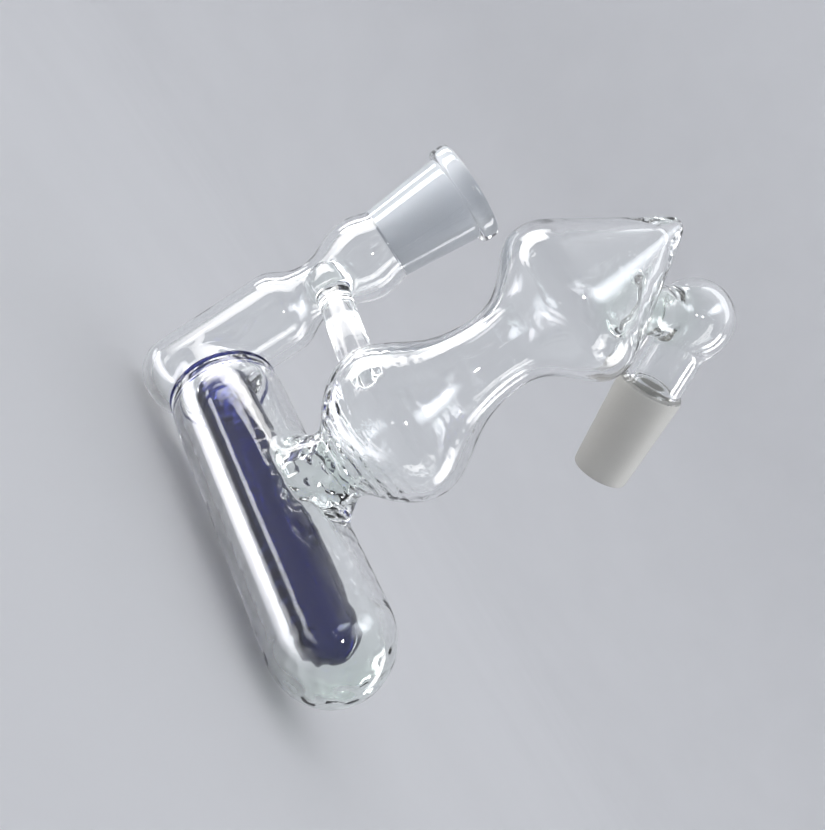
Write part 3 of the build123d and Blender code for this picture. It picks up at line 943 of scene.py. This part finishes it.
class BUBBLER_OT_ground_joints(bpy.types.Operator):
    """Grind the socket's bore and the cone"""

    bl_idname = "bubbler.ground_joints"
    bl_label = "Grind the joints"

    def execute(self, context):
        settings = context.scene.bubbler
        lining, rim_gap = 0.12 * mm, 0.5
        narrow = JOINT_RADIUS - JOINT_TAPER * JOINT_LENGTH

        pale = tuple(settings.socket_white)
        socket_satin = satin_glass("satin_socket_glass", pale, tuple(v * 0.86 for v in pale), 0.25)
        ground_length = JOINT_LENGTH - rim_gap
        top = narrow + JOINT_TAPER * ground_length
        values = {
            "Wide Radius": narrow * mm + lining, "Narrow Radius": top * mm + lining,
            "Length": ground_length * mm, "Wall": 2 * lining,
            "Squareness": 0.12, "Sides": 128, "Around": 48,
        }
        sleeve = grown("ground_socket_bore", sleeve_tree(socket_satin), values)
        stood(turned_right_way(sleeve), JUNCTION + UP * SOCKET_FOOT * mm, UP)
        piece_from(sleeve, socket_satin, "satin_socket_glass", "ground_socket")

        pale = tuple(settings.cone_white)
        cone_satin = satin_glass("satin_cone_glass", pale, tuple(v * 0.88 for v in pale), 0.3)
        values = {
            "Wide Radius": JOINT_RADIUS * mm, "Narrow Radius": narrow * mm,
            "Length": JOINT_LENGTH * mm, "Wall": WALL * mm,
            "Squareness": 0.12, "Sides": 128, "Around": 64,
        }
        cone = grown("ground_cone_glass", sleeve_tree(cone_satin), values)
        stood(turned_right_way(cone), CONE_END, CONE_DIR)
        piece_from(cone, cone_satin, "satin_cone_glass", "ground_cone")
        return {"FINISHED"}


MIDDLE_GAIN = 1.6


def softbox(name, place, aim, upright, width, length, glow, colour=(1, 1, 1), softness=0.7, slope=0.0):
    """A soft light for the glass alone: bright in the middle, faded to its edges, sloped to one end."""
    lamp = bpy.data.lights.new(name, "AREA")
    lamp.shape = "RECTANGLE"
    lamp.size, lamp.size_y = width, length
    lamp.energy = glow * math.pi * width * length
    lamp.color = colour
    lamp.use_nodes = True
    lamp.node_tree.nodes.clear()
    graph = Graph(lamp.node_tree)
    graph.node("ShaderNodeNewGeometry")
    place_on = Signal(graph, graph.last.outputs["Parametric"])
    graph.node("ShaderNodeSeparateXYZ", {}, {0: place_on})
    u, v = (Signal(graph, graph.last.outputs[i]) for i in (0, 1))
    edge = (u * (1 - u) * 4) * (v * (1 - v) * 4)
    fade = edge ** softness
    glowing = graph.node("ShaderNodeEmission", {}, {"Strength": fade * (1 - slope * v) * MIDDLE_GAIN})
    graph.node("ShaderNodeOutputLight", {}, {0: glowing})
    box = bpy.data.objects.new(name, lamp)
    bpy.context.scene.collection.objects.link(box)
    back = (Vector(place) - Vector(aim)).normalized()
    side = Vector(upright).cross(back).normalized()
    columns = (side, back.cross(side), back)
    box.matrix_world = Matrix([[column[row] for column in columns] for row in range(3)]).to_4x4()
    box.location = place
    box.visible_camera = False
    box.light_linking.receiver_collection = glassware()
    return box


def glassware():
    """The collection that holds the pieces, so that the lights can be kept off the floor."""
    found = bpy.data.collections.get("glassware")
    if found is None:
        found = bpy.data.collections.new("glassware")
        bpy.context.scene.collection.children.link(found)
    return found


CAMERA_AZIMUTH, CAMERA_ELEVATION, CAMERA_ROLL = 37.58 * DEG, 0.86 * DEG, 57.11 * DEG
CAMERA_TARGET = np.array([-6.76, -27.5, -44.6]) * mm
CAMERA_LENS, SENSOR = 46.85, 36.0
LEVEL = np.array([math.cos(CAMERA_AZIMUTH), math.sin(CAMERA_AZIMUTH), 0])
AWAY = np.array([math.sin(CAMERA_AZIMUTH), -math.cos(CAMERA_AZIMUTH), 0])
BACK = AWAY * math.cos(CAMERA_ELEVATION) + UP * math.sin(CAMERA_ELEVATION)


def place_camera(distance):
    """The camera, level with the bulbs and rolled on its side."""
    upright = UP * math.cos(CAMERA_ELEVATION) - AWAY * math.sin(CAMERA_ELEVATION)
    right = math.cos(CAMERA_ROLL) * LEVEL + math.sin(CAMERA_ROLL) * upright
    above = -math.sin(CAMERA_ROLL) * LEVEL + math.cos(CAMERA_ROLL) * upright
    lens = bpy.data.cameras.new("camera")
    lens.lens = CAMERA_LENS
    lens.sensor_width = SENSOR
    lens.clip_start = 0.01
    lens.clip_end = 20
    camera = bpy.data.objects.new("camera", lens)
    bpy.context.scene.collection.objects.link(camera)
    for column, axis in enumerate((right, above, BACK)):
        for row in range(3):
            camera.matrix_world[row][column] = axis[row]
    camera.location = CAMERA_TARGET + BACK * distance
    bpy.context.scene.camera = camera


def lay_floor(shade):
    """A pale floor that curves up all round, so that no edge of it shows."""
    flat, curl, rim, rim_height = 0.9, 0.5, 1.55, 1.8
    sides, steps, last_turn, gap = 96, 16, 1.45, 0.5 * mm
    turns = np.linspace(0, last_turn, steps)
    outline = [(flat + curl * math.sin(t), curl - curl * math.cos(t)) for t in turns]
    outline.append((rim, rim_height))
    height = cad_box[0].z - gap
    points = [(0, 0, height)]
    for radius, rise in outline:
        for turn in np.arange(sides) * (2 * math.pi / sides):
            points.append((radius * math.cos(turn), radius * math.sin(turn), height + rise))
    faces = []
    for side in range(sides):
        following = (side + 1) % sides
        faces.append((0, 1 + side, 1 + following))
        for ring in range(len(outline) - 1):
            low, high = 1 + ring * sides, 1 + (ring + 1) * sides
            faces.append((low + side, high + side, high + following, low + following))
    mesh = bpy.data.meshes.new("floor")
    mesh.from_pydata(points, [], faces)
    mesh.shade_smooth()
    mesh.materials.append(floor_paint(shade))
    floor = bpy.data.objects.new("floor", mesh)
    bpy.context.scene.collection.objects.link(floor)


def toward(near, aside, high, distance):
    """A place in a direction from the middle: towards the camera, to its right, and up."""
    way = BACK * near + LEVEL * aside + UP * high
    return CAMERA_TARGET + way / np.linalg.norm(way) * distance


def hang_lamps():
    """A near window for the riser, a strip under the chamber, and far lamps for the bulbs and edges."""
    window = JUNCTION + np.array([-33, -50, 46]) * mm
    riser_side = JUNCTION + UP * 46 * mm
    softbox("window", window, riser_side, UP, 0.020, 0.122, 8, (1.0, 0.99, 0.97), 0.45)
    overhead = toward(0.42, 0.16, 0.88, 0.48)
    softbox("overhead", overhead, CAMERA_TARGET, LEVEL, 0.52, 0.18, 9, (0.90, 0.95, 1.0), 1.6, 0.5)
    softbox("flash", toward(0.93, 0.10, 0.35, 0.40), CAMERA_TARGET, UP, 0.03, 0.03, 160)
    softbox("edge_left", toward(-0.35, -0.93, 0.25, 0.5), CAMERA_TARGET, UP, 0.12, 0.40, 7)
    softbox("edge_right", toward(-0.30, 0.93, 0.30, 0.5), CAMERA_TARGET, UP, 0.12, 0.40, 7)
    strip = JUNCTION + np.array([30, -17, -14.4]) * mm
    across = np.array([0, 1, 0])
    softbox("strip", strip, strip + UP, across, 0.126, 0.010, 8, (0.95, 0.95, 1.0), 0.9)


def light_room(colour, strength):
    """The even light of the room, which alone lights the floor."""
    world = bpy.data.worlds.new("studio")
    world.use_nodes = True
    background = world.node_tree.nodes["Background"]
    background.inputs["Color"].default_value = (*colour, 1)
    background.inputs["Strength"].default_value = strength
    bpy.context.scene.world = world


class BUBBLER_OT_stage(bpy.types.Operator):
    """Set up the pale floor, the soft lights and the camera"""

    bl_idname = "bubbler.stage"
    bl_label = "Set the stage"

    def execute(self, context):
        settings = context.scene.bubbler
        place_camera(settings.camera_distance)
        lay_floor(tuple(settings.floor_shade))
        hang_lamps()
        light_room((0.74, 0.76, 0.80), 1.3)
        context.scene.view_settings.view_transform = "Standard"
        cycles = context.scene.cycles
        cycles.max_bounces = 24
        cycles.transmission_bounces = 24
        cycles.glossy_bounces = 8
        cycles.diffuse_bounces = 3
        return {"FINISHED"}


class BUBBLER_PT_panel(bpy.types.Panel):
    bl_idname = "BUBBLER_PT_panel"
    bl_label = "Lampworked bubbler"
    bl_space_type = "VIEW_3D"
    bl_region_type = "UI"
    bl_category = "Bubbler"

    def draw(self, context):
        for name in BubblerSettings.__annotations__:
            self.layout.prop(context.scene.bubbler, name)
        for operator in OPERATORS:
            self.layout.operator(operator.bl_idname)


OPERATORS = (BUBBLER_OT_stage, BUBBLER_OT_clear_body, BUBBLER_OT_blue_glass, BUBBLER_OT_ground_joints)
CLASSES = (BubblerSettings, *OPERATORS, BUBBLER_PT_panel)


def register():
    for item in CLASSES:
        bpy.utils.register_class(item)
    bpy.types.Scene.bubbler = PointerProperty(type=BubblerSettings)


def unregister():
    del bpy.types.Scene.bubbler
    for item in reversed(CLASSES):
        bpy.utils.unregister_class(item)


def main():
    register()
    for operator in OPERATORS:
        group, name = operator.bl_idname.split(".")
        getattr(getattr(bpy.ops, group), name)()


if __name__ == "__main__":
    main()
